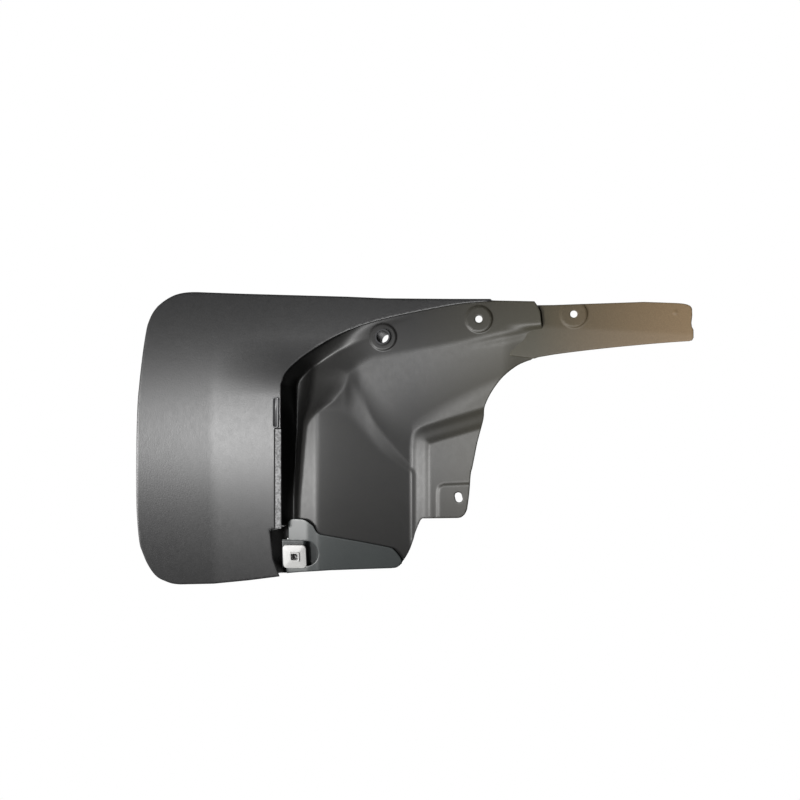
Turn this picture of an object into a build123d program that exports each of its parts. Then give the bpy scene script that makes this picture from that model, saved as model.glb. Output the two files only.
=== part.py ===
from build123d import *
import os
from math import cos, radians, sin, sqrt

# Right-hand wheel-arch mud flap, as it hangs on the car: +Z up, +X towards the middle of the car,
# +Y to the rear, away from the wheel. The origin is the mouth of the lower flange hole. Millimetres.

# Sheet thicknesses and running gaps
FLAP_T = 3.0
LINER_T = 2.6
ARM_T = 2.8
GUSSET_T = 2.4
GAP = 0.2
LAP_STEP = 3.45

# Wheel-arch sweep that every moulding follows, and the crown across the car
ARCH_RADIUS = 1600.0
ARCH_SLOPE = radians(14)
CROWN_RISE = 18.0
CROWN_LINE = 93.0
CROWN_HALF_WIDTH = 140.0

# Flap panel
FLAP_CREASE_Z = -170.0
FLAP_EDGE_Z = -102.0
FLAP_CORNER_Z = -113.0
CORNER_FOOT_Z = -98.0
FLAP_LIFT = 4.5
CORNER_X = 194.0

# Liner: channel behind the flap's edge, ridge, set-back panel and raised pad
WALL_FOOT_Z = -84.0
RIDGE_TOP_Z = -67.0
CHANNEL_DEPTH = 25.0
CHANNEL_CORNER_DEPTH = 18.0
RIDGE_RISE = 1.5
PANEL_SETBACK = 12.0
PANEL_FULL_Z = 13.0
PAD_RISE = 7.0
PAD_FOOT_Z = 30.0
PAD_TOP_Z = 46.0
LAP_EDGE_Z = -130.0

# Holes and fixings
BOSS_RADIUS = 13.5
BOSS_HEIGHT = 1.0
LOWER_HOLE_RADIUS = 6.0
LOWER_BOSS_LENGTH = 22.0
SMALL_HOLE_RADIUS = 3.5
BUSH_WALL = 1.2
SLOT_LENGTH = 10.0
SLOT_WIDTH = 7.0
STUD_RADIUS = 2.4
STUD_CLEARANCE = 0.2
STUD_PROUD = 4.0
PUSH_NUT_RADIUS = 6.0
PUSH_NUT_T = 0.8
PUSH_NUT_DISH = 1.0

# Square nylon nut and the pocket that holds it
NUT_SIDE = 24.0
NUT_CORNER = 4.0
NUT_FLANGE_T = 4.0
NUT_NECK = 12.0
NUT_NECK_LENGTH = 12.0
NUT_FRAME = 10.0
NUT_SOCKET = 6.5
NUT_SOCKET_DEPTH = 5.0
NUT_BORE_RADIUS = 2.5
NUT_X = 221.0
NUT_Z = -89.0
NUT_OFFSET = 6.0
POCKET_LENGTH = 36.0
POCKET_HEIGHT = 28.6
POCKET_DEPTH = 6.0

# Small pieces on the flap's free edge
STRIP_WIDTH = 6.0
STRIP_T = 1.6
STRIP_TOP_X = 92.0
STRIP_BOTTOM_X = 192.0
CLIP_X = 75.5
CLIP_LENGTH = 31.0
CLIP_Z = -107.4
CLIP_WIDTH = 6.6
CLIP_BACK_WIDTH = 3.6
CLIP_LEG_T = 1.5
CLIP_WEB = 2.4

REACH = 400.0


def ramp(value, start, end):
    return min(1.0, max(0.0, (value - start) / (end - start)))


def ease(value, start, end):
    t = ramp(value, start, end)
    return t * t * (3 - 2 * t)


def base(x, z):
    """Depth of the common surface: the arch sweep up the car and the crown across it."""
    arch = sqrt(ARCH_RADIUS**2 - (z + ARCH_RADIUS * sin(ARCH_SLOPE)) ** 2)
    arch -= ARCH_RADIUS * cos(ARCH_SLOPE)
    crown = ((x - CROWN_LINE) / CROWN_HALF_WIDTH) ** 2
    crown_at_origin = (CROWN_LINE / CROWN_HALF_WIDTH) ** 2
    return arch + CROWN_RISE * (crown - crown_at_origin)


def lift(x, z):
    """How far the flap turns forward between its crease and its free edge."""
    return FLAP_LIFT * ramp(z, FLAP_CREASE_Z, FLAP_EDGE_Z) * ease(x, 0, 60)


def fold_x(z):
    """The fold below the screw flange, as a distance across the car."""
    return 24.0 - 0.185 * (z + 30.0)


def facet_x(z):
    """Where the sloping facet under the fold meets the flat of the liner."""
    return 30.0 + 1.75 * (max(z, -25.0) + 25.0)


def panel(x, z):
    """Set-back of the liner's panel: it falls away from the ridge towards its far end."""
    fall = PANEL_SETBACK + RIDGE_RISE
    full = fall * ramp(z, RIDGE_TOP_Z, PANEL_FULL_Z) - RIDGE_RISE
    if z < -25:
        return full * ease(x, 6, 62)
    start = fold_x(z)
    end = max(facet_x(min(z, 30.0)), start + 40)
    return full * ramp(x, start, end)


def pad(x, z):
    """Rise of the pad that carries the inboard screw tab."""
    upper = 91.0 - 0.27 * (z - PAD_TOP_Z)
    return PAD_RISE * ramp(z, PAD_FOOT_Z, PAD_TOP_Z) * ramp(x, upper, upper + 11)


def liner_front(x, z):
    """Depth of the liner's front face."""
    shallower = (CHANNEL_DEPTH - CHANNEL_CORNER_DEPTH) * ease(x, 110, 180)
    channel = (CHANNEL_DEPTH - shallower) * ease(x, 13, 63)
    wall_top = FLAP_CORNER_Z if x > CORNER_X else FLAP_EDGE_Z
    wall_foot = CORNER_FOOT_Z if x > CORNER_X else WALL_FOOT_Z
    depth = -lift(x, z) * (1 - ramp(z, wall_top, wall_foot))
    if z > RIDGE_TOP_Z:
        depth += panel(x, z) - pad(x, z)
    elif z > WALL_FOOT_Z:
        share = ramp(z, WALL_FOOT_Z, RIDGE_TOP_Z)
        depth += channel * (1 - share) + panel(x, RIDGE_TOP_Z) * share
    else:
        depth += channel * ramp(z, wall_top, wall_foot)
    return base(x, z) + depth


def flap_front(x, z):
    """Depth of the flap's front face, one thickness in front of the liner's lap."""
    return base(x, z) - lift(x, z) - LAP_STEP - GAP


def arm_front(x, z):
    """Depth of the arm's front face, one thickness behind the liner's flange."""
    return liner_front(x, z) + 2 * GAP + LINER_T * stretch(liner_front, x, z)


def gusset_front(x, z):
    """Depth of the gusset's front face, lying on the liner's panel and bridging the channel."""
    return base(x, z) + panel(x, max(z, RIDGE_TOP_Z)) - GAP - 1.06 * GUSSET_T


def slopes(surface, x, z):
    step = 1.0
    across = (surface(x + step, z) - surface(x - step, z)) / (2 * step)
    upward = (surface(x, z + step) - surface(x, z - step)) / (2 * step)
    return across, upward


def stretch(surface, x, z):
    """Fore-and-aft thickness of a sheet for each millimetre of its true thickness."""
    across, upward = slopes(surface, x, z)
    return min(1.9, sqrt(1 + across**2 + upward**2))


def seat(surface, x, z):
    """Plane lying on a surface, its normal pointing forward to the wheel."""
    across, upward = slopes(surface, x, z)
    return Plane(
        origin=(x, surface(x, z), z),
        x_dir=(0, upward, 1),
        z_dir=(across, -1, upward),
    )


def sheet(surface, thickness, xs, zs):
    """A sheet of even thickness behind a surface, lofted through its sections."""
    sections = []
    for x in xs:
        front = [Vector(x, surface(x, z), z) for z in zs]
        back = [
            Vector(x, surface(x, z) + thickness * stretch(surface, x, z), z) for z in zs
        ]
        sections.append(make_face(Polyline(*front, *reversed(back), close=True)))
    return loft(sections, ruled=True)


def outline(*edges):
    """A block as deep as the whole part, from the edges of an outline seen from the wheel."""
    return extrude(make_face(Wire(edges)), amount=2 * REACH, dir=(0, 1, 0))


def at(x, z):
    return Vector(x, -REACH, z)


def line(*points):
    return Polyline(*[at(x, z) for x, z in points]).edges()


def curve(*points):
    return Spline(*[at(x, z) for x, z in points]).edges()


def flap_outline():
    return outline(
        *line((68, -247.2), (108, -248.3), (160, -248.6)),
        *curve((160, -248.6), (188, -247.6), (208, -245.6), (226, -239.2), (239, -231), (246, -220), (249.3, -205)),
        *line((249.3, -205), (248.4, -171), (244.6, -135), (240.5, -104), (223, -110), (CORNER_X, FLAP_CORNER_Z)),
        *line((CORNER_X, FLAP_CORNER_Z), (CORNER_X, FLAP_EDGE_Z), (47, FLAP_EDGE_Z)),
        *curve((47, FLAP_EDGE_Z), (33, -95.3), (14.7, -73.3), (-4.4, -39), (-17.8, 1.4), (-31.2, 68)),
        *line((-31.2, 68), (-35.4, 113), (-37, 107), (-40.7, -37), (-45.8, -186)),
        *curve((-45.8, -186), (-45, -202), (-40.6, -215), (-31.6, -227.4), (-17, -236), (10, -241.4), (68, -247.2)),
    )


def liner_outline():
    return outline(
        *line((238, LAP_EDGE_Z), (20, LAP_EDGE_Z), (-12, -96), (-37, -40), (-36.5, 104)),
        *line((-36.5, 104), (-35, 150), (-30.6, 153.4), (-25, 156), (-9.4, 157.8), (23, 149)),
        *curve((23, 149), (37.7, 122), (57.8, 106.6), (84.5, 99.5), (128.6, 89.4), (173.5, 84)),
        *line((173.5, 84), (180, 78), (181, 40)),
        *curve((181, 40), (203, 30.4), (224.6, 20), (231.7, 9.6)),
        *line((231.7, 9.6), (238, LAP_EDGE_Z)),
    )


def arm_outline():
    return outline(
        *line((-31, 126), (-31, 169), (-33.5, 257)),
        *curve((-33.5, 257), (-32.6, 287), (-29.4, 302)),
        *line((-29.4, 302), (-12.6, 302.5), (-8.7, 304), (2, 304.5), (5.4, 300)),
        *line((5.4, 300), (12.3, 217), (20.5, 155), (22, 150), (20, 126), (-31, 126)),
    )


def gusset_outline():
    return outline(
        *line((191, -86), (192.5, -77), (199, -53), (211, 9), (218, 15), (228.5, 13.5)),
        *line((228.5, 13.5), (231.7, 9.6), (237, -97), (197, -97), (191, -86)),
    )


def hole(surface, x, z, radius):
    return seat(surface, x, z) * Cylinder(radius, 90)


def boss(surface, x, z, thickness):
    """Raised disc round a screw hole."""
    height = BOSS_HEIGHT + thickness
    lower = Pos(0, 0, BOSS_HEIGHT - height / 2)
    return seat(surface, x, z) * lower * Cylinder(BOSS_RADIUS, height)


def studs(surface, places, pass_through):
    """Moulded studs on the back of a sheet, long enough for the sheet behind and a push nut."""
    length = pass_through + STUD_PROUD
    pins = []
    for x, z in places:
        root = Pos(0, 0, -length / 2 - 1.0)
        pins.append(seat(surface, x, z) * root * Cylinder(STUD_RADIUS, length))
    return pins


def stud_holes(surface, places):
    return [hole(surface, x, z, STUD_RADIUS + STUD_CLEARANCE) for x, z in places]


LAP_STATIONS = [
    -50, -30, -10, 6, 22, 36, 50, 63, 76, 91, 102, 130, 160, CORNER_X - 1, CORNER_X + 1, 220,
]
SEAM_STUDS = [(-29, 2), (-23, -42), (-4, -82), (33, -119), (112, -118), (152, -118), (188, -121)]
ARM_STUDS = [(-22, 141), (8, 140)]
GUSSET_STUDS = [(217, -30), (215, -2)]
FLANGE_HOLES = {"lower": (0, 0), "upper": (-17.5, 95.5)}
ARM_HOLE = (-22, 189)
TAB_SLOT = (160, 75.5)


def flap_panel():
    body = sheet(
        flap_front,
        FLAP_T,
        xs=[-60, *LAP_STATIONS, 255],
        zs=[-255, -225, -198, FLAP_CREASE_Z, -136, FLAP_CORNER_Z, FLAP_EDGE_Z, -67, -24, 32, 70, 120],
    )
    body &= flap_outline()
    for pin in studs(flap_front, SEAM_STUDS, FLAP_T + LINER_T):
        body += pin
    body -= edge_strip_block()
    body -= clip_slot()
    return body


def edge_strip_block():
    """The bar of grained trim let into the flap's free edge."""
    middle = (STRIP_TOP_X + STRIP_BOTTOM_X) / 2
    length = STRIP_BOTTOM_X - STRIP_TOP_X
    edge = outline(
        *line(
            (STRIP_TOP_X, FLAP_EDGE_Z - STRIP_WIDTH),
            (STRIP_BOTTOM_X, FLAP_EDGE_Z - STRIP_WIDTH),
            (STRIP_BOTTOM_X, FLAP_EDGE_Z),
            (STRIP_TOP_X, FLAP_EDGE_Z),
            (STRIP_TOP_X, FLAP_EDGE_Z - STRIP_WIDTH),
        )
    )
    bar = sheet(
        strip_front,
        STRIP_T,
        xs=[middle - length / 2 - 5, middle, middle + length / 2 + 5],
        zs=[FLAP_EDGE_Z - STRIP_WIDTH - 5, FLAP_EDGE_Z, FLAP_EDGE_Z + 5],
    )
    return bar & edge


def strip_front(x, z):
    """The strip stands a little proud of the flap's front face."""
    return flap_front(x, min(z, FLAP_EDGE_Z)) - 0.3


def clip_slot():
    place = seat(flap_front, CLIP_X, CLIP_Z)
    return place * Box(CLIP_WEB + 0.4, CLIP_LENGTH - 5, 30)


def edge_clip():
    """Two legs joined by a web through the slot: it pinches the flap on to the liner's lap."""
    place = seat(flap_front, CLIP_X, CLIP_Z)
    grip = FLAP_T + LINER_T + 2 * GAP + 0.5
    front = Pos(0, 0, CLIP_LEG_T / 2 + GAP) * Box(CLIP_WIDTH, CLIP_LENGTH, CLIP_LEG_T)
    front = fillet(front.edges().filter_by(Axis.Z), 2.0)
    window = Pos(0.6, 0, CLIP_LEG_T + GAP) * Box(CLIP_WIDTH - 3.2, CLIP_LENGTH - 6, 1.6)
    web = Pos(0, 0, -grip / 2 + 0.5) * Box(CLIP_WEB, CLIP_LENGTH - 6, grip + 1.6)
    back = Pos(0, 0, -grip - CLIP_LEG_T / 2) * Box(CLIP_BACK_WIDTH, CLIP_LENGTH - 6, CLIP_LEG_T)
    return place * (front - window + web + back)


def arch_liner():
    body = sheet(
        liner_front,
        LINER_T,
        xs=[*LAP_STATIONS, 245],
        zs=[
            -136, FLAP_CORNER_Z, FLAP_EDGE_Z, CORNER_FOOT_Z, WALL_FOOT_Z, RIDGE_TOP_Z, -45, -24,
            0, PANEL_FULL_Z, PAD_FOOT_Z, PAD_TOP_Z, 70, 95, 120, 145, 170,
        ],
    )
    body &= liner_outline()
    for x, z in FLANGE_HOLES.values():
        body += boss(liner_front, x, z, LINER_T)
    sleeve = Pos(0, 0, -LOWER_BOSS_LENGTH / 2)
    tube = Cylinder(LOWER_HOLE_RADIUS + BUSH_WALL + 2.2, LOWER_BOSS_LENGTH)
    body += seat(liner_front, 0, 0) * sleeve * tube
    for pin in studs(liner_front, ARM_STUDS, LINER_T + ARM_T):
        body += pin
    body -= hole(liner_front, 0, 0, LOWER_HOLE_RADIUS + BUSH_WALL)
    body -= hole(liner_front, *FLANGE_HOLES["upper"], SMALL_HOLE_RADIUS)
    slot = SlotOverall(SLOT_LENGTH, SLOT_WIDTH)
    slot = extrude(slot, amount=30, both=True)
    body -= seat(liner_front, *TAB_SLOT) * Rot(0, 0, 105) * slot
    for cutter in stud_holes(flap_front, SEAM_STUDS) + stud_holes(gusset_front, GUSSET_STUDS):
        body -= cutter
    body -= clip_slot()
    body -= pocket_seat() * Box(POCKET_LENGTH + 3, POCKET_HEIGHT + 3, 80)
    return body


def upper_arm():
    body = sheet(
        arm_front,
        ARM_T,
        xs=[-50, -30, -10, 6, 22, 36],
        zs=[95, 120, 145, 170, 190, 215, 240, 265, 290, 310],
    )
    body &= arm_outline()
    body += boss(arm_front, *ARM_HOLE, ARM_T)
    body &= arm_outline()
    body -= hole(arm_front, *ARM_HOLE, SMALL_HOLE_RADIUS)
    for cutter in stud_holes(liner_front, ARM_STUDS):
        body -= cutter
    return body


def pocket_seat():
    """Plane on the gusset at the middle of the nut's pocket."""
    return seat(gusset_front, NUT_X, NUT_Z + NUT_OFFSET)


def lower_gusset():
    body = sheet(
        gusset_front,
        GUSSET_T,
        xs=[160, 193, 195, 220, 245],
        zs=[-110, -84, RIDGE_TOP_Z, -45, -24, 0, PAD_FOOT_Z],
    )
    body &= gusset_outline()
    tray = Pos(0, 0, -POCKET_DEPTH / 2 - 1) * Box(POCKET_LENGTH, POCKET_HEIGHT, POCKET_DEPTH + 2)
    hollow = Pos(-4, 0, 0.5) * Box(POCKET_LENGTH + 4, POCKET_HEIGHT - 4, 2 * POCKET_DEPTH - 3)
    neck = Pos(-NUT_OFFSET, 0, 0) * Box(NUT_NECK + 0.4, NUT_NECK + 0.4, 60)
    body += pocket_seat() * tray
    body -= pocket_seat() * hollow
    body -= pocket_seat() * neck
    for pin in studs(gusset_front, GUSSET_STUDS, GUSSET_T + LINER_T):
        body += pin
    return body


def square_nut():
    """Nylon nut: a flange that seats in the pocket, a square neck through its floor, a screw bore."""
    floor = -POCKET_DEPTH + 2
    flange = Box(NUT_SIDE, NUT_SIDE, NUT_FLANGE_T)
    flange = fillet(flange.edges().filter_by(Axis.Z), NUT_CORNER)
    nut = Pos(0, 0, floor + NUT_FLANGE_T / 2) * flange
    nut += Pos(0, 0, floor + NUT_FLANGE_T + 0.6) * Box(NUT_FRAME, NUT_FRAME, 1.2)
    nut += Pos(0, 0, floor - NUT_NECK_LENGTH / 2) * Box(NUT_NECK, NUT_NECK, NUT_NECK_LENGTH)
    mouth = floor + NUT_FLANGE_T + 1.2
    nut -= Pos(0, 0, mouth - NUT_SOCKET_DEPTH / 2) * Box(NUT_SOCKET, NUT_SOCKET, NUT_SOCKET_DEPTH)
    nut -= Cylinder(NUT_BORE_RADIUS, 60)
    return pocket_seat() * Pos(-NUT_OFFSET, 0, 0.05) * nut


def lower_hole_bush():
    """Flanged sleeve that takes the clamp load of the lower screw."""
    length = LOWER_BOSS_LENGTH + BOSS_HEIGHT
    tube = Pos(0, 0, BOSS_HEIGHT - length / 2) * Cylinder(LOWER_HOLE_RADIUS + BUSH_WALL - 0.02, length)
    rim = Pos(0, 0, BOSS_HEIGHT + 0.5) * Cylinder(LOWER_HOLE_RADIUS + 2.2, 1.0)
    bush = tube + rim - Cylinder(LOWER_HOLE_RADIUS, 80)
    return seat(liner_front, 0, 0) * bush


def push_nut(surface, x, z, depth_behind):
    """Dished spring-steel washer pressed on a stud, its rim against the sheet."""
    inner = STUD_RADIUS + 0.02
    profile = Polyline(
        (inner, -PUSH_NUT_DISH),
        (PUSH_NUT_RADIUS - 1.5, 0),
        (PUSH_NUT_RADIUS, 0),
        (PUSH_NUT_RADIUS, -PUSH_NUT_T),
        (PUSH_NUT_RADIUS - 1.5, -PUSH_NUT_T),
        (inner, -PUSH_NUT_DISH - PUSH_NUT_T),
        close=True,
    )
    washer = revolve(Plane.XZ * make_face(profile), Axis.Z)
    return seat(surface, x, z) * Pos(0, 0, -depth_behind) * washer


def build():
    pieces = {
        "flap_panel": flap_panel(),
        "arch_liner": arch_liner(),
        "upper_arm": upper_arm(),
        "lower_gusset": lower_gusset(),
        "edge_strip": edge_strip_block(),
        "edge_clip": edge_clip(),
        "square_nut": square_nut(),
        "lower_hole_bush": lower_hole_bush(),
    }
    behind_lap = FLAP_T + LINER_T + 2 * GAP + 0.45
    for number, (x, z) in enumerate(SEAM_STUDS, 1):
        pieces[f"seam_push_nut_{number}"] = push_nut(flap_front, x, z, behind_lap)
    behind_arm = LINER_T + ARM_T + 2 * GAP + 0.25
    for number, (x, z) in enumerate(ARM_STUDS, 1):
        pieces[f"arm_push_nut_{number}"] = push_nut(liner_front, x, z, behind_arm)
    behind_liner = GUSSET_T + LINER_T + 2 * GAP + 0.25
    for number, (x, z) in enumerate(GUSSET_STUDS, 1):
        pieces[f"gusset_push_nut_{number}"] = push_nut(gusset_front, x, z, behind_liner)
    return pieces


os.makedirs("parts", exist_ok=True)
for name, piece in build().items():
    export_step(piece, f"parts/{name}.step")
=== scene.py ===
import math

import bmesh
import bpy
import numpy as np
from mathutils import Matrix, Vector
from mathutils.geometry import delaunay_2d_cdt
from mathutils.kdtree import KDTree


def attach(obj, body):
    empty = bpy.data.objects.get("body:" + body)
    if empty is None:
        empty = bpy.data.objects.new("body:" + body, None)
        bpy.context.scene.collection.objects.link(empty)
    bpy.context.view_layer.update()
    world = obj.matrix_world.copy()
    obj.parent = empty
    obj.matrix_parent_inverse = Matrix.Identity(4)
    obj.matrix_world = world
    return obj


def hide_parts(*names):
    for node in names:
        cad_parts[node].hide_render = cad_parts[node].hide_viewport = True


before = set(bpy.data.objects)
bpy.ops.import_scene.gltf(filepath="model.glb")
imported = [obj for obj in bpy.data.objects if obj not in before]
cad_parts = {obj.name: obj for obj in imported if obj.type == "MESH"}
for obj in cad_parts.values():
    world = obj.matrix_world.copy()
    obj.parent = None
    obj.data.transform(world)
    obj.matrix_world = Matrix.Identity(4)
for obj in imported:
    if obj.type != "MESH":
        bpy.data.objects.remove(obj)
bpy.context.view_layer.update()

bl_info = {
    "name": "Wheel-arch mud flap",
    "version": (1, 0, 0),
    "blender": (4, 5, 0),
    "location": "View3D > Sidebar > Mud Flap",
    "description": "Builds the mouldings, trim and fixings of a right-hand wheel-arch mud flap",
    "category": "Object",
}

MM = 0.001

# Shared form, in millimetres: X towards the middle of the car, Y to the rear, Z up.
ARCH_RADIUS = 1600.0
ARCH_SLOPE = math.radians(14)
CROWN_RISE = 18.0
CROWN_LINE = 93.0
CROWN_HALF_WIDTH = 140.0

FLAP_FRONT_STEP = 3.65
FLAP_LIFT = 4.5
ARM_STEP = 3.3
GUSSET_STEP = 2.9
FLAP_EDGE_Z = -102.0
FLAP_CORNER_Z = -113.0
CORNER_X = 194.0
CREASE_Z = -170.0

CHANNEL_DEPTH = 30.0
CORNER_DEPTH = 18.0
WALL_WIDTH = 14.0
RIB_FOOT = -5.0
RIB_TOP = 2.0
RIDGE_Z = -67.0
RIDGE_FOOT_Z = -84.0
RIDGE_RISE = 6.5
PANEL_STEP = 5.0
PANEL_FALL = 13.5
RIM = 0.9
END_SLOPE = 0.30
LAND_RADIUS = 12.6
LAND_FOOT_RADIUS = 13.9
# Each step of the tab's pad: height, then start, end and rounding across its line.
PAD_STEPS = ((2.6, -4.0, 1.5, 1.6), (1.8, 1.5, 9.5, 1.0), (2.4, 9.5, 14.5, 1.4))

LOWER_HOLE = (0.0, 0.0)
UPPER_HOLE = (-17.5, 95.5)
ARM_HOLE = (-22.0, 189.0)
TAB_SLOT = (160.0, 75.5)
NUT_CENTRE = (220.5, -89.0)
CLIP_PLACE = (75.5, -107.4)
POCKET_CENTRE = (217.2, -77.6)
NOTCH_RADIUS = 12.6
POCKET_RADIUS = 12.7
# Radius and lower end of the pocket's opening in the liner, and of the shelf below it.
LINER_OPENING = (14.9, -96.6)
SHELF_OUTLINE = (12.9, -101.4)
STUD_PROUD = 5.0
SEAM_STUDS = [(-29, 2), (-23, -42), (-4, -82), (33, -119), (112, -118), (152, -118), (188, -121)]
ARM_STUDS = [(-22, 141), (8, 140)]
GUSSET_STUDS = [(217, -30), (215, -2)]


# ---------------------------------------------------------------- curves and ramps


def ramp(value, start, end):
    """Straight rise from 0 to 1."""
    return np.clip((value - start) / (end - start), 0.0, 1.0)


def ease(value, start, end):
    """Rise from 0 to 1 that starts and ends level."""
    t = ramp(value, start, end)
    return t * t * (3 - 2 * t)


def bend(value, at, width):
    """Zero before a crease and rising one for one after it, rounded over a width each side."""
    t = np.clip((value - at + width) / (2 * width), 0.0, 1.0)
    return np.where(value > at + width, value - at, width * t * t)


def soft_ramp(value, start, end, width):
    """Straight rise from 0 to 1 with both of its corners rounded."""
    return (bend(value, start, width) - bend(value, end, width)) / (end - start)


def through(points, step=2.0):
    """A smooth line through points, sampled about every step."""
    p = np.array(points, float)
    p = np.vstack([2 * p[0] - p[1], p, 2 * p[-1] - p[-2]])
    out = []
    for a, b, c, d in zip(p, p[1:], p[2:], p[3:]):
        count = max(2, int(math.ceil(np.linalg.norm(c - b) / step)))
        for t in np.arange(count) / count:
            out.append(
                0.5
                * (
                    2 * b
                    + (c - a) * t
                    + (2 * a - 5 * b + 4 * c - d) * t**2
                    + (3 * b - a - 3 * c + d) * t**3
                )
            )
    out.append(p[-2])
    return np.array(out)


def straight(points, step=2.0):
    """Straight runs between points, sampled about every step."""
    out = []
    for a, b in zip(points, points[1:]):
        a, b = np.array(a, float), np.array(b, float)
        count = max(1, int(round(np.linalg.norm(b - a) / step)))
        out += [a + (b - a) * i / count for i in range(count)]
    out.append(np.array(points[-1], float))
    return np.array(out)


def loop(*stretches):
    """Joins stretches end to end into one closed ring of points."""
    ring = np.vstack(stretches)
    keep = [0]
    for i in range(1, len(ring)):
        if np.linalg.norm(ring[i] - ring[keep[-1]]) > 0.35:
            keep.append(i)
    if np.linalg.norm(ring[keep[-1]] - ring[0]) < 0.35:
        keep.pop()
    ring = ring[keep]
    x, z = ring[:, 0], ring[:, 1]
    area = np.sum(x * np.roll(z, -1) - np.roll(x, -1) * z)
    return ring if area > 0 else ring[::-1]


def rounded(ring):
    """Takes the sharpness off a ring's corners."""
    return 0.25 * np.roll(ring, 1, 0) + 0.5 * ring + 0.25 * np.roll(ring, -1, 0)


def circle(centre, radius, step=1.0):
    """Ring of points about a centre."""
    count = max(12, int(2 * math.pi * radius / step))
    a = np.arange(count) * 2 * math.pi / count
    return np.stack([centre[0] + radius * np.cos(a), centre[1] + radius * np.sin(a)], 1)


def slot_ring(centre, length, width, turn, step=0.8):
    """A round-ended slot, its long side turned from the X axis."""
    half, r = (length - width) / 2, width / 2
    a = np.arange(0, math.pi, step / r) - math.pi / 2
    right = np.stack([half + r * np.cos(a), r * np.sin(a)], 1)
    ring = np.vstack([right, -right])
    c, s = math.cos(turn), math.sin(turn)
    return ring @ np.array([[c, s], [-s, c]]) + np.array(centre)


def distance_to(line, x, z):
    """Signed distance from an open line of points, positive on its left."""
    a, b = line[:-1], line[1:]
    best = np.full(x.shape, 1e9)
    side = np.ones(x.shape)
    for (ax, az), (bx, bz) in zip(a, b):
        dx, dz = bx - ax, bz - az
        t = np.clip(((x - ax) * dx + (z - az) * dz) / (dx * dx + dz * dz), 0, 1)
        ex, ez = x - ax - t * dx, z - az - t * dz
        d = np.hypot(ex, ez)
        nearer = d < best
        best = np.where(nearer, d, best)
        side = np.where(nearer, np.where(dx * ez - dz * ex >= 0, 1.0, -1.0), side)
    return best * side


# ---------------------------------------------------------------- outlines, as (x, z)

ARCH_CURVE = [
    (47, -102), (33, -95.3), (14.7, -73.3), (-4.4, -39), (-17.8, 1.4), (-31.2, 68), (-34.6, 100),
]
FREE_EDGE = np.vstack([straight([(260, -102), (47, -102)], 6), through(ARCH_CURVE, 6)])[::-1]


def flap_ring():
    return loop(
        through(
            [
                (28, -243.6), (46, -245.4), (68, -247.2), (108, -248.3), (160, -248.6),
                (188, -247.6), (208, -245.6), (217, -242.8),
            ]
        ),
        through(
            [
                (217, -242.8), (226, -239.2), (233, -235.4), (239, -231), (243, -226.4),
                (246, -220), (248.4, -213), (249.3, -205),
            ]
        ),
        straight(
            [
                (249.3, -205), (248.4, -171), (244.6, -135), (240.4, -104), (223, -110.4),
                (193, -113.4),
            ]
        ),
        straight([(193, -113.4), (193.5, -102.2), (47, FLAP_EDGE_Z)]),
        through(ARCH_CURVE),
        straight(
            [
                (-35.2, 110), (-37.6, 107), (-37.9, 68), (-38.8, 3), (-40.7, -37), (-44.1, -143),
                (-45.8, -186),
            ]
        ),
        through(
            [
                (-45.8, -186), (-45.8, -194), (-45, -202), (-43.3, -209), (-40.6, -215),
                (-36.6, -221.4), (-31.6, -227.4),
            ]
        ),
        through(
            [
                (-31.6, -227.4), (-27, -231), (-22.6, -233.6), (-17, -236), (-9, -238.4),
                (10, -241.4), (28, -243.6),
            ]
        ),
    )


def liner_ring():
    return loop(
        straight(
            [
                (238, -130), (20, -130), (-12, -96), (-35.5, -40), (-36, 100), (-36.2, 107),
                (-35, 150.5),
            ]
        ),
        straight([(-35, 150.5), (-30.6, 153.4), (-25, 156.2), (-9.4, 157.8), (6, 155), (21, 150)]),
        through(
            [
                (21, 150), (23.5, 146.5), (24.5, 143), (29, 133.4), (37.7, 122), (46.3, 114.2),
                (57.8, 106.6), (69.5, 101.4), (79, 100.5),
            ]
        ),
        through(
            [
                (79, 100.5), (84.5, 99.5), (97.5, 96), (107.6, 93.5), (128.6, 89.4), (137, 87.5),
                (156, 86), (172, 83.9),
            ]
        ),
        through([(172, 83.9), (177, 81.5), (180, 77.8), (180.7, 74)]),
        straight([(180.7, 74), (181.4, 42)]),
        through(
            [
                (181.4, 42), (182.6, 38), (195, 32.6), (203, 30.4), (215, 25.9), (224.6, 20.1),
                (230.7, 14.4), (231.9, 8),
            ]
        ),
        straight([(231.9, 8), (234, -53), (236, -83), (237.6, -99), (238, -130)]),
    )


def arm_ring():
    return loop(
        straight([(-31, 126), (-31.2, 169), (-32, 197), (-33.6, 257)]),
        through([(-33.6, 257), (-32.8, 276), (-31.7, 294), (-29.4, 301.5), (-26, 303.3)]),
        straight(
            [
                (-26, 303.3), (-20, 303.4), (-12.6, 302.5), (-8.7, 302.9), (-5.7, 304.4),
                (2, 304.4), (4.7, 302.9), (5.4, 300.2),
            ]
        ),
        through([(5.4, 300.2), (6.4, 283.8), (8.5, 257), (12.3, 217), (17, 177), (20.5, 155)]),
        straight([(20.5, 155), (22, 150), (19, 126), (-31, 126)]),
    )


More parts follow.
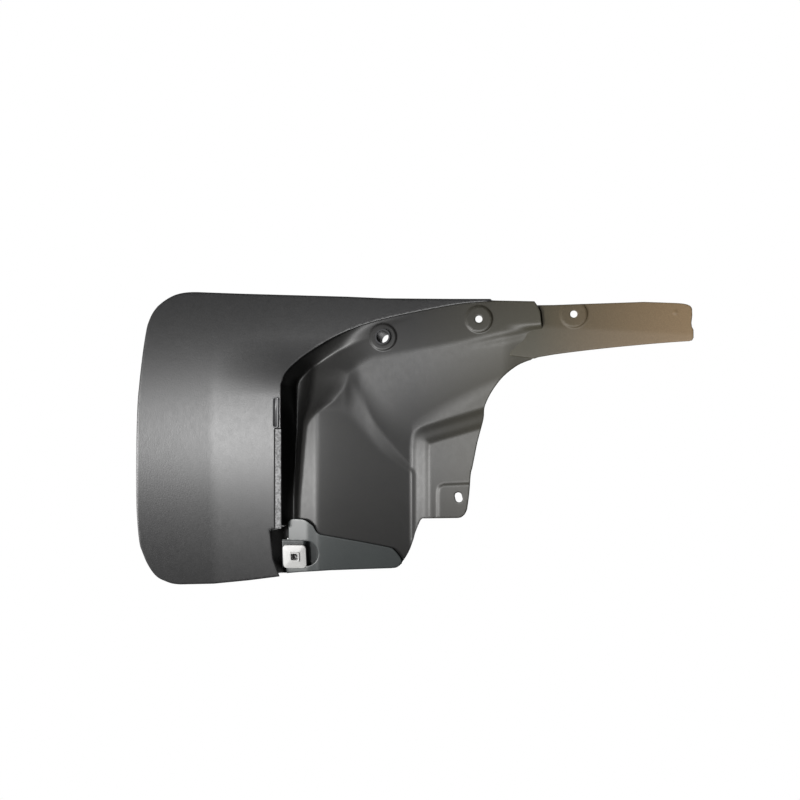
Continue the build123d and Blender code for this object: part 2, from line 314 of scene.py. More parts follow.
def gusset_ring():
    """The plate's edge, with the round-ended notch for the nut open towards the flap."""
    cx, cz = POCKET_CENTRE
    r = NOTCH_RADIUS
    half_turn = np.linspace(0, math.pi, 21)
    notch = np.array([(cx - r * math.cos(a), cz + r * math.sin(a)) for a in half_turn])
    return loop(
        through([(183.5, -93.5), (182.3, -91), (182.3, -84), (183.5, -78), (189, -70)]),
        through(
            [
                (189, -70), (196.6, -65), (199.5, -53), (205, -22), (210.6, 6), (213, 11),
                (218, 15.6), (223, 18.6), (227, 19),
            ]
        ),
        through([(227, 19), (230.4, 14.6), (231.7, 8)]),
        straight(
            [
                (231.7, 8), (234, -53), (236, -83), (237.4, -97), (231, -98), (cx + r, -94),
                (cx + r, cz),
            ]
        ),
        notch[::-1],
        straight([(cx - r, cz), (cx - r, -94), (203.6, -95.2), (186, -95.2), (183.5, -93.5)]),
    )


# ---------------------------------------------------------------- surfaces: depth at (x, z)


def base(x, z):
    """The arch sweep up the car and the crown across it."""
    arch = np.sqrt(ARCH_RADIUS**2 - (z + ARCH_RADIUS * math.sin(ARCH_SLOPE)) ** 2)
    arch = arch - ARCH_RADIUS * math.cos(ARCH_SLOPE)
    crown = ((x - CROWN_LINE) / CROWN_HALF_WIDTH) ** 2
    return arch + CROWN_RISE * (crown - (CROWN_LINE / CROWN_HALF_WIDTH) ** 2)


def lift(x, z):
    """How far the flap turns forward between its crease and its free edge."""
    crease = CREASE_Z + 12 * (1 - ease(x, -5, 45))
    rise = (bend(z, crease, 5) - bend(z, FLAP_EDGE_Z, 0.5)) / (FLAP_EDGE_Z - CREASE_Z)
    return FLAP_LIFT * rise * ease(x, 0, 60)


def flap_front(x, z):
    return base(x, z) - lift(x, z) - FLAP_FRONT_STEP


def smooth_function(points):
    """One-valued smooth curve through points, for reading at any place."""
    line = through(points, 1.0)
    order = np.argsort(line[:, 0])
    return line[order, 0], line[order, 1]


SHOULDER_TOP = smooth_function(
    [
        (-85, 66), (-62, 62), (-48, 56), (-38, 49), (-31, 47), (-21, 62), (-8, 87), (12, 112), (29, 131),
        (60, 165),
    ]
)
SHOULDER_FOOT = smooth_function(
    [(-85, 76), (-62, 72), (-48, 72), (-38, 74), (-31, 79), (-18, 94), (2, 116), (29, 136), (60, 170)]
)
CHANNEL_SIDE = np.vstack(
    [
        through(
            [
                (-30, 22), (-20, -8), (-12, -26), (-4, -43), (6, -58), (18, -68), (32, -73),
                (48, -75.5), (66, -77.5), (90, -80), (120, -83), (160, -86),
            ],
            3,
        ),
        [(260, -88)],
    ]
)


def fold_x(z):
    """Line of the fold below the screw flange."""
    return 24.0 - 0.185 * (z + 30.0) + 1.2 * np.sin((z + 30) / 184 * math.pi)


def facet(x, z):
    """Sloping face below the fold of the screw flange."""
    groove = 0.9 * ease(z, 70, 120) * np.exp(-(((x - fold_x(z) - 4) / 4.0) ** 2))
    slope = 0.12 * ease(z, -40.0, -22.0) + 0.0013 * bend(z, -5.0, 20.0)
    most = main_panel(x, z) - 2.0
    return most - bend(most, slope * bend(x, fold_x(z), 3.0), 2.0) + groove


def main_panel(x, z):
    """Depth of the panel below the flange: least along the channel's rib, most past the middle."""
    rib = -RIDGE_RISE * soft_ramp(z, RIDGE_FOOT_Z, RIDGE_Z, 3.0)
    fall = np.clip((z - RIDGE_Z) / 80.0, 0.0, 1.2)
    return PANEL_STEP + rib + PANEL_FALL * fall**1.25


def shoulder(x, z):
    """0 on the facet and 1 on the main panel, across a band that narrows up the car."""
    top = np.interp(z, *SHOULDER_TOP)
    foot = np.interp(z, *SHOULDER_FOOT)
    width = np.maximum(foot - top, 3.0)
    return soft_ramp(x, top, top + width, np.minimum(0.22 * width, 6.0))


def pad_line():
    """Foot of the pad's walls, round its corner."""
    corner = through([(112, 32), (101, 33.5), (95, 38), (91.5, 46)], 2)
    return np.vstack([[(260, 32)], corner, [(76, 98), (64, 140)]])[::-1]


PAD_LINE = pad_line()
TAB_CORNER = through([(156, 53.6), (149.5, 55), (146.5, 60), (146, 66)], 1.5)
TAB_LINE = np.vstack([[(230, 53.6)], TAB_CORNER, [(143.5, 120)]])[::-1]


def pad(x, z):
    """Stepped pad under the inboard screw tab, with a thin raised land round the slot."""
    inward = distance_to(PAD_LINE, x, z)
    rise = sum(height * soft_ramp(inward, *across) for height, *across in PAD_STEPS)
    return rise + 1.3 * soft_ramp(distance_to(TAB_LINE, x, z), 0.0, 2.0, 0.5)


def land(centre, x, z):
    """Round land, a millimetre proud, about a screw hole."""
    r = np.hypot(x - centre[0], z - centre[1])
    return 1 - ease(r, LAND_RADIUS, LAND_FOOT_RADIUS)


def lap_feather(x, z):
    """Below the fold the liner's end thins out, so that it runs into the arm without a step."""
    return 2.0 * ease(z, 118, 150) * ease(x, -13, -6)


def panel(x, z):
    """The facet, dropping over the shoulder to the main panel as far as the pad."""
    level = facet(x, z)
    return level + (main_panel(x, z) - level) * shoulder(x, z) * (1 - ease(z, 27.5, 33.0))


def liner_front(x, z):
    """Lap behind the flap, channel wall, ridge, then the panel with its shoulder and pad."""
    corner = ease(x, CORNER_X - 5.0, CORNER_X - 1.5)
    inboard = distance_to(FREE_EDGE, x, z) + corner * (FLAP_EDGE_Z - FLAP_CORNER_Z)
    shallower = (CHANNEL_DEPTH - CORNER_DEPTH) * ease(x, 120, 185)
    depth = (CHANNEL_DEPTH - shallower) * ease(x, -36, 14)
    wall = soft_ramp(inboard, -1.0, WALL_WIDTH, 1.0)
    upper = 1 - ease(x, 62, 92)
    beyond = distance_to(CHANNEL_SIDE, x, z)
    gentle = 7 + 25 * ease(x, -14, 30) * (1 - ease(x, 42, 90))
    rise = soft_ramp(beyond, RIB_FOOT - 3 * corner, RIB_TOP + gentle * upper, 1.5 + 4 * upper)
    lap = -lift(x, z) * (1 - wall)
    body = panel(x, z) - pad(x, z)
    front = base(x, z) + lap + depth * wall * (1 - rise) + body * rise
    return front - (land(LOWER_HOLE, x, z) + land(UPPER_HOLE, x, z))


def arm_front(x, z):
    """The arm: folded along its length, with a land round its hole and a pip near its end."""
    fold = -10.5 + 0.063 * (z - 155)
    below = 0.10 * bend(x, fold, 2.0)
    pip = 0.6 * (1 - ease(np.hypot(x + 23.0, z - 287.0), 1.6, 2.4))
    return base(x, z) + ARM_STEP + below - land(ARM_HOLE, x, z) - pip


def gusset_flat(x, z):
    """The gusset's plane without its turned-down end."""
    return base(x, z) + main_panel(x, np.maximum(z, RIDGE_Z)) - GUSSET_STEP


def gusset_front(x, z):
    """The plate on the liner, its end turned down into the channel."""
    return gusset_flat(x, z) + END_SLOPE * bend(-z, 76.0, 2.0)


def strip_front(x, z):
    return flap_front(x, np.minimum(z, FLAP_EDGE_Z)) - 0.35


def slopes(surface, x, z, step=0.6):
    """Change of depth for each millimetre across and up."""
    across = (surface(x + step, z) - surface(x - step, z)) / (2 * step)
    upward = (surface(x, z + step) - surface(x, z - step)) / (2 * step)
    return across, upward


def stretch(surface, x, z):
    """Fore-and-aft thickness of a sheet for each millimetre of its wall, limited on steep walls."""
    across, upward = slopes(surface, x, z)
    return np.minimum(1.9, np.sqrt(1 + across**2 + upward**2))


def seat(surface, x, z, turn=0.0):
    """Matrix, in metres, of a place on a surface: local Z stands out of the front face."""
    px, pz = np.array([float(x)]), np.array([float(z)])
    across, upward = (float(v[0]) for v in slopes(surface, px, pz, 1.0))
    out = Vector((across, -1.0, upward)).normalized()
    up = Vector((0, upward, 1)).normalized()
    side = up.cross(out).normalized()
    up = out.cross(side)
    place = Matrix((side, up, out)).transposed().to_4x4()
    place.translation = Vector((x, float(surface(px, pz)[0]), z)) * MM
    return place @ Matrix.Rotation(turn, 4, "Z")


# ---------------------------------------------------------------- mesh making


def inside(ring, x, z):
    """True where points lie inside a ring."""
    hit = np.zeros(x.shape, bool)
    for (ax, az), (bx, bz) in zip(ring, np.roll(ring, -1, 0)):
        if az == bz:
            continue
        cross = (az > z) != (bz > z)
        hit ^= cross & (x < (bx - ax) * (z - az) / (bz - az) + ax)
    return hit


def ring_normals(ring):
    """Unit directions out of a ring, in its own plane."""
    along = np.roll(ring, -1, 0) - np.roll(ring, 1, 0)
    normal = np.stack([along[:, 1], -along[:, 0]], 1)
    return normal / np.maximum(np.linalg.norm(normal, axis=1, keepdims=True), 1e-9)


def fill_points(rings, spacing, extra):
    """Points that fill the area between the outer ring and the holes, clear of the edges."""
    lo, hi = rings[0].min(0), rings[0].max(0)
    zs = np.arange(lo[1], hi[1], spacing * 0.866)
    points = [
        (x + (spacing / 2 if row % 2 else 0), z)
        for row, z in enumerate(zs)
        for x in np.arange(lo[0], hi[0], spacing)
    ]
    tree = KDTree(sum(len(r) for r in extra) + 1)
    count = 0
    for line in extra:
        for p in line:
            tree.insert((p[0], p[1], 0), count)
            count += 1
    tree.insert((1e6, 1e6, 0), count)
    tree.balance()
    points = [p for p in points if tree.find((p[0], p[1], 0))[2] > 0.62 * spacing]
    points = np.array(points + [tuple(p) for line in extra for p in line])
    keep = inside(rings[0], points[:, 0], points[:, 1])
    for hole in rings[1:]:
        keep &= ~inside(hole, points[:, 0], points[:, 1])
    points = points[keep]
    tree = KDTree(sum(len(r) for r in rings))
    count = 0
    for ring in rings:
        for p in ring:
            tree.insert((p[0], p[1], 0), count)
            count += 1
    tree.balance()
    return [p for p in points if tree.find((p[0], p[1], 0))[2] > 0.5]


def moulded_sheet(name, rings, surface, thickness, spacing, rim=RIM, extra=(), arcs=3, feather=None):
    """A closed sheet: front and back faces that follow a surface, with rounded edges all round.

    feather(x, z) takes that much off the front where the sheet thins out towards a lap.
    """
    off = feather or (lambda x, z: 0.0 * x)
    normals = [ring_normals(r) * (1 if i == 0 else -1) for i, r in enumerate(rings)]
    inner = [r - n * rim for r, n in zip(rings, normals)]
    fill = fill_points(inner, spacing, list(extra))
    coords = [tuple(p) for r in inner for p in r] + [tuple(p) for p in fill]
    edges, first = [], 0
    for r in inner:
        edges += [(first + i, first + (i + 1) % len(r)) for i in range(len(r))]
        first += len(r)
    done = delaunay_2d_cdt([Vector(c) for c in coords], edges, [], 0, 1e-5, True)
    plane, triangles, origins = done[0], np.array(done[2]), done[3]
    place = np.array([(v.x, v.y) for v in plane])
    middle = place[triangles].mean(1)
    keep = inside(inner[0], middle[:, 0], middle[:, 1])
    for hole in inner[1:]:
        keep &= ~inside(hole, middle[:, 0], middle[:, 1])
    triangles = triangles[keep]
    where = {}
    for new, olds in enumerate(origins):
        for old in olds:
            where[old] = new
    x, z = place[:, 0], place[:, 1]
    through_sheet = thickness * stretch(surface, x, z)
    front = np.stack([x, surface(x, z) + off(x, z), z], 1)
    back = np.stack([x, surface(x, z) + through_sheet, z], 1)
    verts = [front, back]
    count = len(place)
    faces = [tuple(t) for t in triangles.tolist()]
    faces += [tuple(count + i for i in reversed(t)) for t in triangles.tolist()]
    total = 2 * count
    first = 0
    angles = [math.pi / 2 * (k + 1) / arcs for k in range(arcs)]
    for r, n in zip(inner, normals):
        size = len(r)
        rows = [[where[first + i] for i in range(size)]]
        profile = [(rim * math.sin(a), rim * (1 - math.cos(a)), 0) for a in angles]
        profile += [(rim * math.sin(a), rim * (1 - math.cos(a)), 1) for a in reversed(angles)]
        for out, deep, rear in profile:
            px, pz = r[:, 0] + n[:, 0] * out, r[:, 1] + n[:, 1] * out
            wide = np.minimum(stretch(surface, px, pz), 1.5)
            thin = off(px, pz)
            full = thickness * wide
            share = (1 - deep / thickness) if rear else deep / thickness
            y = surface(px, pz) + thin + (full - thin) * share
            verts.append(np.stack([px, y, pz], 1))
            rows.append([total + i for i in range(size)])
            total += size
        rows.append([count + where[first + i] for i in range(size)])
        for a, b in zip(rows, rows[1:]):
            faces += [(a[i], a[(i + 1) % size], b[(i + 1) % size], b[i]) for i in range(size)]
        first += size
    return solid_object(name, np.vstack(verts) * MM, faces)


def solid_object(name, verts, faces, smooth=True):
    mesh = bpy.data.meshes.new(name)
    mesh.from_pydata([tuple(v) for v in verts], [], faces)
    bm = bmesh.new()
    bm.from_mesh(mesh)
    bmesh.ops.recalc_face_normals(bm, faces=bm.faces)
    bm.to_mesh(mesh)
    bm.free()
    for face in mesh.polygons:
        face.use_smooth = smooth
    mesh.validate()
    piece = bpy.data.objects.new(name, mesh)
    bpy.context.scene.collection.objects.link(piece)
    return piece


def turned(profile, segments=48):
    """Verts and faces of a closed ring of revolution from (radius, height) points."""
    verts, faces = [], []
    n = len(profile)
    for k in range(segments):
        a = 2 * math.pi * k / segments
        verts += [(r * math.cos(a), r * math.sin(a), h) for r, h in profile]
    for k in range(segments):
        for i in range(n):
            a, b = k * n + i, k * n + (i + 1) % n
            c, d = ((k + 1) % segments) * n + (i + 1) % n, ((k + 1) % segments) * n + i
            faces.append((a, b, c, d))
    return verts, faces


def capped(rings, place):
    """Verts and faces of a closed solid through rings of equal count, ends filled."""
    verts = [place @ (Vector(p) * MM) for ring in rings for p in ring]
    n = len(rings[0])
    faces = [
        (k * n + i, k * n + (i + 1) % n, (k + 1) * n + (i + 1) % n, (k + 1) * n + i)
        for k in range(len(rings) - 1)
        for i in range(n)
    ]
    faces.append(tuple(range(n)))
    faces.append(tuple((len(rings) - 1) * n + i for i in range(n)))
    return verts, faces


def joined(piece, *others):
    """Adds further closed solids to a piece's mesh."""
    bm = bmesh.new()
    bm.from_mesh(piece.data)
    for verts, faces in others:
        made = [bm.verts.new(v) for v in verts]
        new = [bm.faces.new([made[i] for i in f]) for f in faces]
        bmesh.ops.recalc_face_normals(bm, faces=new)
        for f in new:
            f.smooth = True
    bm.to_mesh(piece.data)
    bm.free()
    return piece


def taken(piece):
    """Verts and faces of a helper object, which is removed."""
    verts = [v.co.copy() for v in piece.data.vertices]
    faces = [tuple(f.vertices) for f in piece.data.polygons]
    bpy.data.objects.remove(piece)
    return verts, faces


def stud(surface, x, z, length, radius=2.4, root=-1.2):
    """A moulded stud that stands on the back of a sheet."""
    rings = []
    turn = np.linspace(0, 2 * math.pi, 25)[:-1]
    tip = -length
    for r, h in [(radius, root), (radius, tip + 0.5), (radius - 0.4, tip), (radius - 1.4, tip)]:
        rings.append([(r * math.cos(a), r * math.sin(a), h) for a in turn])
    return capped(rings, seat(surface, x, z))


def rounded_bar(width, tall, corner, steps=5):
    """Ring of a rectangle with round corners."""
    hx, hy = width / 2 - corner, tall / 2 - corner
    ring = []
    for k, (sx, sy) in enumerate([(1, 1), (-1, 1), (-1, -1), (1, -1)]):
        for i in range(steps + 1):
            a = math.pi / 2 * (k + i / steps)
            ring.append((sx * hx + corner * math.cos(a), sy * hy + corner * math.sin(a)))
    return ring


def ring_faces(rows, count):
    """Faces of a closed tube: each row of count points is joined to the next, the last to the first."""
    return [
        (k * count + i, k * count + (i + 1) % count, ((k + 1) % rows) * count + (i + 1) % count,
         ((k + 1) % rows) * count + i)
        for k in range(rows)
        for i in range(count)
    ]


def sharpen(piece, angle=math.radians(38)):
    """Keeps the shading crisp across corners sharper than an angle."""
    bm = bmesh.new()
    bm.from_mesh(piece.data)
    for edge in bm.edges:
        if len(edge.link_faces) == 2 and edge.calc_face_angle() > angle:
            edge.smooth = False
    bm.to_mesh(piece.data)
    bm.free()


# ---------------------------------------------------------------- materials


def node(tree, kind, **values):
    """A shader node with values set on its inputs by name and its settings by attribute."""
    made = tree.nodes.new(kind)
    for key, value in values.items():
        if hasattr(made, key):
            setattr(made, key, value)
        else:
            made.inputs[key.replace("_", " ")].default_value = value
    return made


def wire(tree, source, output, target, name):
    tree.links.new(source.outputs[output], target.inputs[name])


def shades(tree, source, output, stops):
    """Colour ramp driven by a value; stops are (position, grey or colour)."""
    made = tree.nodes.new("ShaderNodeValToRGB")
    wire(tree, source, output, made, "Fac")
    elements = made.color_ramp.elements
    while len(elements) < len(stops):
        elements.new(0.5)
    for element, (place, colour) in zip(elements, stops):
        element.position = place
        element.color = (colour, colour, colour, 1) if isinstance(colour, float) else (*colour, 1)
    return made


def scaled(colour, factor):
    return tuple(min(1.0, c * factor) for c in colour)


def moulded(name, colour, grain, grain_height, roughness, sheen, mottle, speckle, painted_warm_light=None):
    """Moulded plastic: grain and its height in millimetres, patchy tone, fine scuffs, worn shine.

    The last argument is (colour, lower height, upper height): the tone turns to that colour between the
    heights, as painted warm reflected light that is lighter and browner, not a change in the plastic.
    """
    material = bpy.data.materials.new(name)
    material.use_nodes = True
    tree = material.node_tree
    tree.nodes.clear()
    out = node(tree, "ShaderNodeOutputMaterial")
    skin = node(tree, "ShaderNodeBsdfPrincipled", Specular_IOR_Level=sheen)
    wire(tree, skin, "BSDF", out, "Surface")
    place = node(tree, "ShaderNodeTexCoord")

    patches = node(tree, "ShaderNodeTexNoise", Scale=22.0, Detail=4.0, Roughness=0.6)
    wire(tree, place, "Object", patches, "Vector")
    dark, pale = scaled(colour, 1 - mottle), scaled(colour, 1 + mottle)
    tone = shades(tree, patches, "Fac", [(0.35, dark), (0.65, pale)])

    # Painted warm reflected light: with height, the base colour is mixed towards a lighter, browner
    # colour.
    if painted_warm_light:
        split = node(tree, "ShaderNodeSeparateXYZ")
        wire(tree, place, "Object", split, "Vector")
        share = node(tree, "ShaderNodeMapRange", From_Min=painted_warm_light[1] * MM, From_Max=painted_warm_light[2] * MM)
        wire(tree, split, "Z", share, "Value")
        turn = node(tree, "ShaderNodeMix", data_type="RGBA")
        turn.inputs[7].default_value = (*painted_warm_light[0], 1)
        tree.links.new(share.outputs["Result"], turn.inputs[0])
        tree.links.new(tone.outputs["Color"], turn.inputs[6])
        tone, tone_output = turn, 2
    else:
        tone_output = 0

    fine = node(tree, "ShaderNodeTexNoise", Scale=1000.0 / grain, Detail=2.0, Roughness=0.55)
    wire(tree, place, "Object", fine, "Vector")
    dots = shades(tree, fine, "Fac", [(0.38, 1.0 - speckle), (0.64, 1.0)])
    mix = node(tree, "ShaderNodeMix", data_type="RGBA", blend_type="MULTIPLY")
    mix.inputs[0].default_value = 1.0
    tree.links.new(tone.outputs[tone_output], mix.inputs[6])
    tree.links.new(dots.outputs["Color"], mix.inputs[7])
    tree.links.new(mix.outputs[2], skin.inputs["Base Color"])

    squash = node(tree, "ShaderNodeMapping")
    squash.inputs["Scale"].default_value = (160.0, 160.0, 260.0)
    squash.inputs["Rotation"].default_value = (0.35, 0.2, 0.0)
    wire(tree, place, "Object", squash, "Vector")
    scuffs = node(tree, "ShaderNodeTexNoise", Scale=1.0, Detail=3.0)
    wire(tree, squash, "Vector", scuffs, "Vector")
    low, high = roughness - 0.01, roughness + 0.015
    shine = shades(tree, scuffs, "Fac", [(0.35, low), (0.7, high)])
    wire(tree, shine, "Color", skin, "Roughness")

    bump = node(tree, "ShaderNodeBump", Strength=1.0, Distance=grain_height * MM)
    wire(tree, fine, "Fac", bump, "Height")
    wire(tree, bump, "Normal", skin, "Normal")
    return material


def metal(name, colour, roughness):
    """Dull treated steel with fine drawn lines and stains."""
    material = bpy.data.materials.new(name)
    material.use_nodes = True
    tree = material.node_tree
    tree.nodes.clear()
    out = node(tree, "ShaderNodeOutputMaterial")
    skin = node(tree, "ShaderNodeBsdfPrincipled", Metallic=1.0)
    wire(tree, skin, "BSDF", out, "Surface")
    place = node(tree, "ShaderNodeTexCoord")
    stains = node(tree, "ShaderNodeTexNoise", Scale=260.0, Detail=5.0, Roughness=0.65)
    wire(tree, place, "Object", stains, "Vector")
    tone = shades(tree, stains, "Fac", [(0.3, scaled(colour, 0.7)), (0.7, scaled(colour, 1.25))])
    wire(tree, tone, "Color", skin, "Base Color")
    shine = shades(tree, stains, "Fac", [(0.3, roughness - 0.08), (0.7, roughness + 0.12)])
    wire(tree, shine, "Color", skin, "Roughness")
    lines = node(tree, "ShaderNodeTexNoise", Scale=1500.0, Detail=1.0)
    wire(tree, place, "Object", lines, "Vector")
    bump = node(tree, "ShaderNodeBump", Strength=0.6, Distance=0.02 * MM)
    wire(tree, lines, "Fac", bump, "Height")
    wire(tree, bump, "Normal", skin, "Normal")
    return material


def finish_piece(piece, material, replaced):
    """Gives a piece its finish and its place in the frame."""
    piece.data.materials.clear()
    piece.data.materials.append(material)
    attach(piece, "root")
    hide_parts(*replaced)
    return piece


# ---------------------------------------------------------------- settings


def length(name, description, millimetres):
    return bpy.props.FloatProperty(
        name=name,
        description=description,
        default=millimetres * MM,
        min=0.0,
        subtype="DISTANCE",
        unit="LENGTH",
    )


def colour(name, description, value):
    return bpy.props.FloatVectorProperty(
        name=name, description=description, default=value, size=3, min=0.0, max=1.0, subtype="COLOR"
    )


class MudFlapSizes(bpy.types.PropertyGroup):
    """Sizes a user would change."""

    flap_thickness: length("Flap thickness", "Wall of the textured flap", 3.0)
    liner_thickness: length("Liner thickness", "Wall of the arch liner", 2.6)
    arm_thickness: length("Arm thickness", "Wall of the upper arm", 2.8)
    gusset_thickness: length("Gusset thickness", "Wall of the lower gusset", 2.4)
    lower_hole_radius: length("Lower hole radius", "Bore of the bush in the lower screw hole", 6.0)
    small_hole_radius: length("Small hole radius", "Upper flange hole and arm hole", 3.5)
    slot_length: length("Slot length", "Overall length of the tab slot", 10.0)
    slot_width: length("Slot width", "Width of the tab slot", 7.0)
    nut_side: length("Nut side", "Side of the square nut's flange", 24.0)
    push_nut_radius: length("Push nut radius", "Rim of the washers pressed on the studs", 6.0)
    mesh_spacing: length("Mesh spacing", "Distance between points of the moulded sheets", 2.2)


class MudFlapColours(bpy.types.PropertyGroup):
    """Colours a user would change."""

    flap: colour("Flap", "Textured flap plastic", (0.012, 0.012, 0.0123))
    liner: colour("Liner", "Arch liner plastic", (0.012, 0.0118, 0.0115))
    # Painted warm reflected light: the liner's upper end turns to the arm-at-the-lap colour, and the arm
    # turns from it to the lighter, browner arm-end colour, by height.
    arm_lap: colour("Arm at the lap", "Upper arm plastic where it meets the liner", (0.034, 0.031, 0.021))
    arm_end_warm_light: colour("Arm end", "Painted warm reflected light at the arm's end", (0.138, 0.094, 0.051))
    gusset: colour("Gusset", "Lower gusset plastic", (0.013, 0.016, 0.016))
    strip: colour("Edge strip", "Grained trim in the free edge", (0.12, 0.12, 0.123))
    clip: colour("Edge clip", "Black nylon clip", (0.05, 0.05, 0.052))
    nut: colour("Square nut", "White nylon", (0.27, 0.27, 0.265))
    bush: colour("Bush", "Black-passivated steel", (0.05, 0.05, 0.052))
    push_nut: colour("Push nuts", "Phosphated spring steel", (0.3, 0.3, 0.31))
    floor: colour("Floor", "Studio floor", (0.9, 0.9, 0.9))


def sizes(context):
    return context.scene.mud_flap_sizes


def colours(context):
    return context.scene.mud_flap_colours


# ---------------------------------------------------------------- pieces


def strip_notch(ring):
    """Cuts the edge strip's seat out of the flap's free edge."""
    seat_path = straight([(193.0, -113.4), (192.4, -108.2), (91.6, -108.2), (91.6, -102), (47, -102)])
    keep = []
    for p in ring:
        on_edge = abs(p[1] + 102) < 0.3 and 46 < p[0] < 193.6
        corner = abs(p[0] - 193.25) < 0.6 and -113.5 < p[1] < -101.8
        keep.append(not (on_edge or corner))
    start = next(i for i in range(len(ring)) if keep[i - 1] and not keep[i])
    turned_ring = np.roll(ring, -start, 0)
    kept = turned_ring[np.roll(np.array(keep), -start)]
    first, last = kept[0], kept[-1]
    if np.linalg.norm(last - seat_path[0]) > np.linalg.norm(last - seat_path[-1]):
        seat_path = seat_path[::-1]
    return loop(kept, seat_path)


def ring_lines(centre, radii, step=1.2):
    return [circle(centre, r, step) for r in radii]


class MUDFLAP_OT_flap_panel(bpy.types.Operator):
    """Textured flap, with the studs that carry its push nuts"""

    bl_idname = "mud_flap.flap_panel"
    bl_label = "Flap panel"
    bl_options = {"REGISTER", "UNDO"}

    def execute(self, context):
        size, tint = sizes(context), colours(context)
        t = size.flap_thickness / MM
        clip_hole = slot_ring(CLIP_PLACE, 26.0, 3.0, math.radians(3))
        piece = moulded_sheet(
            "flap_moulding",
            [strip_notch(flap_ring()), clip_hole],
            flap_front,
            t,
            size.mesh_spacing / MM,
            rim=1.0,
        )
        reach = t + size.liner_thickness / MM + STUD_PROUD
        joined(piece, *[stud(flap_front, x, z, reach) for x, z in SEAM_STUDS])
        skin = moulded(
            "Grained flap plastic", tuple(tint.flap),
            grain=1.3, grain_height=0.05, roughness=0.35, sheen=0.42, mottle=0.06, speckle=0.3,
        )
        finish_piece(piece, skin, ["flap_panel"])
        return {"FINISHED"}


class MUDFLAP_OT_arch_liner(bpy.types.Operator):
    """Arch liner: screw flange, channel, ridge, step wall and tab pad in one sheet"""

    bl_idname = "mud_flap.arch_liner"
    bl_label = "Arch liner"
    bl_options = {"REGISTER", "UNDO"}

    def execute(self, context):
        size, tint = sizes(context), colours(context)
        t = size.liner_thickness / MM
        bore = size.lower_hole_radius / MM
        holes = [
            liner_ring(),
            circle(LOWER_HOLE, bore + 1.2, 0.9),
            circle(UPPER_HOLE, size.small_hole_radius / MM, 0.8),
            slot_ring(TAB_SLOT, size.slot_length / MM, size.slot_width / MM, math.radians(15)),
            pocket_ring(*LINER_OPENING),
        ]
        detail = ring_lines(LOWER_HOLE, (9.5, 11.4, 12.7, 13.3, 13.9, 15))
        detail += ring_lines(UPPER_HOLE, (5.8, 8, 10.4, 12.7, 13.3, 13.9, 15))
        piece = moulded_sheet(
            "liner_moulding",
            holes,
            liner_front,
            t,
            size.mesh_spacing / MM * 0.8,
            rim=0.8,
            extra=detail,
            feather=lap_feather,
        )
        sleeve_place = seat(liner_front, *LOWER_HOLE)
        inner, outer = bore + 1.25, bore + 3.4
        profile = [(inner, -0.5), (outer, -0.5), (outer, -21.4), (bore + 2.8, -22), (inner, -22)]
        verts, faces = turned(profile)
        sleeve = [sleeve_place @ (Vector(v) * MM) for v in verts]
        reach = t + size.arm_thickness / MM + STUD_PROUD
        pins = [stud(liner_front, x, z, reach, root=-2.4) for x, z in ARM_STUDS]
        joined(piece, (sleeve, faces), *pins)
        # Painted warm reflected light: the liner's tone turns lighter and browner, to the arm's colour at
        # the lap, between heights of 30 and 165 mm.
        painted_warm_light = (tuple(tint.arm_lap), 30.0, 165.0)
        skin = moulded(
            "Smooth liner plastic", tuple(tint.liner),
            grain=1.1, grain_height=0.015, roughness=0.42, sheen=0.25, mottle=0.05,
            speckle=0.1, painted_warm_light=painted_warm_light,
        )
        finish_piece(piece, skin, ["arch_liner"])
        return {"FINISHED"}


class MUDFLAP_OT_upper_arm(bpy.types.Operator):
    """Upper arm, lapped behind the liner's end"""

    bl_idname = "mud_flap.upper_arm"
    bl_label = "Upper arm"
    bl_options = {"REGISTER", "UNDO"}

    def execute(self, context):
        size, tint = sizes(context), colours(context)
        piece = moulded_sheet(
            "arm_moulding",
            [arm_ring(), circle(ARM_HOLE, size.small_hole_radius / MM, 0.8)],
            arm_front,
            size.arm_thickness / MM,
            size.mesh_spacing / MM * 0.7,
            rim=0.8,
            extra=ring_lines(ARM_HOLE, (5.8, 8, 10.4, 12.7, 13.3, 13.9)),
        )
        # Painted warm reflected light: the arm's tone turns lighter and browner towards its end, between
        # heights of 150 and 305 mm.
        painted_warm_light = (tuple(tint.arm_end_warm_light), 150.0, 305.0)
        skin = moulded(
            "Black arm plastic with painted warm light", tuple(tint.arm_lap),
            grain=1.2, grain_height=0.02, roughness=0.45, sheen=0.14, mottle=0.05,
            speckle=0.12, painted_warm_light=painted_warm_light,
        )
        finish_piece(piece, skin, ["upper_arm"])
        return {"FINISHED"}


def pocket_ring(radius, end):
    """Closed ring round the nut's pocket: a half circle at the top and a square end."""
    cx, cz = POCKET_CENTRE
    arc = [(cx + radius * math.cos(a), cz + radius * math.sin(a)) for a in np.linspace(0, math.pi, 31)]
    left, right = cx - radius, cx + radius
    return loop(arc, straight([(left, cz), (left, end), (right, end), (right, cz)], 1.5))


def pocket_floor(x, z):
    """The shelf that the nut sits on, and the deeper end of the pocket above it."""
    return gusset_flat(x, z) + 4.3 + 7.5 * soft_ramp(z, -78.5, -74.5, 0.8)


